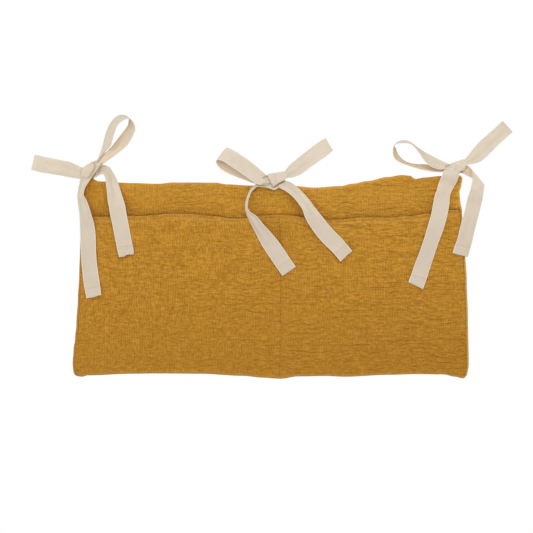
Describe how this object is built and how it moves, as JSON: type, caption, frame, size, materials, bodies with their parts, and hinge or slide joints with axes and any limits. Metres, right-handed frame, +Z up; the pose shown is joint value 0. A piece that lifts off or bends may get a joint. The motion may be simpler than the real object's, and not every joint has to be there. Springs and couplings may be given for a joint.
{
  "type": "bedside caddy",
  "caption": "Fabric bedside caddy of crinkled double gauze with side-by-side open pockets, hung from a rail by cotton tapes tied in bows.",
  "frame": {"origin": "on the plane of the lining's back face, halfway across the caddy, at the height of the top edge where the ties hold it to a rail", "axes": "+X across the caddy to the right of a person who faces the pockets, +Y from the pockets towards the rail or bed side behind, +Z up"},
  "size_m": [0.6008, 0.0398, 0.3292],
  "materials": {
    "gauze": "matte crinkled double gauze",
    "gauze_lining": "matte crinkled double gauze",
    "cotton_tape": "matte woven cotton tape"
  },
  "bodies": {
    "caddy": {"back_lining": "gauze_lining", "back_panel": "gauze", "pocket_panel": "gauze", "left_seam_tab": "cotton_tape", "left_knot": "cotton_tape", "left_flat_loop": "cotton_tape", "left_open_loop": "cotton_tape", "centre_seam_tab": "cotton_tape", "centre_knot": "cotton_tape", "centre_open_loop": "cotton_tape", "centre_flat_loop": "cotton_tape", "right_seam_tab": "cotton_tape", "right_knot": "cotton_tape", "right_open_loop": "cotton_tape", "right_flat_loop": "cotton_tape"},
    "left_outer_tape": {"left_outer_tail": "cotton_tape"},
    "left_inner_tape": {"left_inner_tail": "cotton_tape"},
    "centre_left_tape": {"centre_left_tail": "cotton_tape"},
    "centre_right_tape": {"centre_right_tail": "cotton_tape"},
    "right_inner_tape": {"right_inner_tail": "cotton_tape"},
    "right_outer_tape": {"right_outer_tail": "cotton_tape"}
  },
  "joints": [
    {"name": "left_outer_tail_lift", "type": "hinge", "parent": "caddy", "child": "left_outer_tape", "pos_m": [-0.225, -0.0103, 0.01245], "axis": [-1, 0, 0], "range_deg": [0, 70]},
    {"name": "left_inner_tail_lift", "type": "hinge", "parent": "caddy", "child": "left_inner_tape", "pos_m": [-0.225, -0.0103, 0.01245], "axis": [-1, 0, 0], "range_deg": [0, 70]},
    {"name": "centre_left_tail_lift", "type": "hinge", "parent": "caddy", "child": "centre_left_tape", "pos_m": [0.0055, -0.0103, 0.00125], "axis": [-1, 0, 0], "range_deg": [0, 35]},
    {"name": "centre_right_tail_lift", "type": "hinge", "parent": "caddy", "child": "centre_right_tape", "pos_m": [0.0055, -0.0103, 0.00125], "axis": [-1, 0, 0], "range_deg": [0, 70]},
    {"name": "right_inner_tail_lift", "type": "hinge", "parent": "caddy", "child": "right_inner_tape", "pos_m": [0.23675, -0.0103, 0.01619], "axis": [-1, 0, 0], "range_deg": [0, 70]},
    {"name": "right_outer_tail_lift", "type": "hinge", "parent": "caddy", "child": "right_outer_tape", "pos_m": [0.23675, -0.0103, 0.01619], "axis": [-1, 0, 0], "range_deg": [0, 70]}
  ]
}
